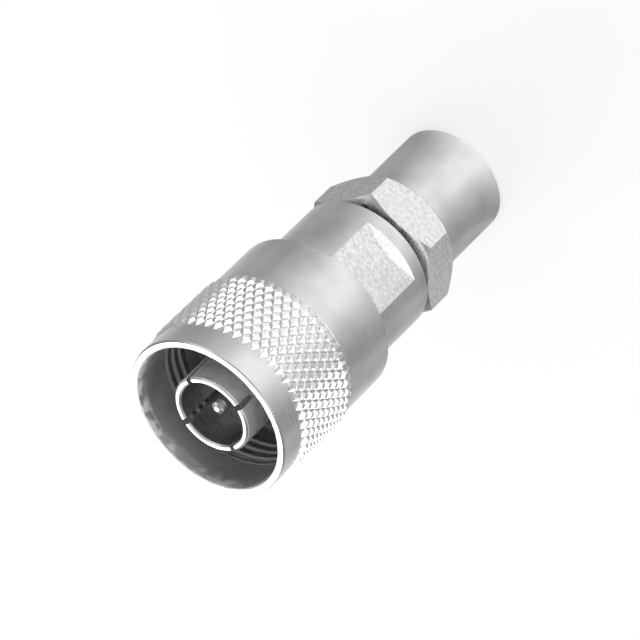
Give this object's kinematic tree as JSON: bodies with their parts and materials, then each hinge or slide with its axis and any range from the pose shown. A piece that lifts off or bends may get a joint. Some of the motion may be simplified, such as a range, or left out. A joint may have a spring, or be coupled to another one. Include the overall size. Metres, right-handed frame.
{
  "type": "n type coaxial cable connector",
  "caption": "Male coaxial cable plug: knurled, threaded coupling nut round a slotted sleeve and centre pin, a flatted body, and a hexagonal clamp nut with a long round tail.",
  "frame": {"origin": "centre of the tail's end face, where the plug stands", "axes": "+Z along the plug's axis, from the cable end to the mouth; a flat of the clamp nut's hexagon faces -Y"},
  "size_m": [0.018, 0.018, 0.0424],
  "materials": {
    "nickel_plate": "satin nickel plate on brass",
    "bright_nickel": "bright nickel plate on brass",
    "silver_plate": "bright silver plate on copper alloy",
    "ptfe": "white, waxy",
    "seal_rubber": "black, matte"
  },
  "bodies": {
    "shell": {"body": "nickel_plate", "retaining_ring": "bright_nickel", "interface_gasket": "seal_rubber", "outer_contact": "silver_plate", "front_insulator": "ptfe", "centre_contact": "silver_plate", "rear_insulator": "ptfe", "braid_clamp": "bright_nickel", "cable_gasket": "seal_rubber"},
    "coupling": {"coupling_nut": "nickel_plate"},
    "washer": {"slip_washer": "bright_nickel"},
    "clamp": {"clamp_nut": "nickel_plate"}
  },
  "joints": [
    {"name": "coupling_turn", "type": "hinge", "parent": "shell", "child": "coupling", "pos_m": [0, 0, 0.0289], "axis": [0, 0, 1], "continuous": true},
    {"name": "clamp_travel", "type": "slide", "parent": "shell", "child": "washer", "axis": [0, 0, -1], "range_m": [0, 0.00501]},
    {"name": "clamp_turn", "type": "hinge", "parent": "washer", "child": "clamp", "pos_m": [0, 0, 0.0105], "axis": [0, 0, -1], "range_deg": [0, 2400]}
  ],
  "couplings": [
    {"joint": "clamp_travel", "follows": "clamp_turn", "m_per_rad": 0.00011937}
  ]
}
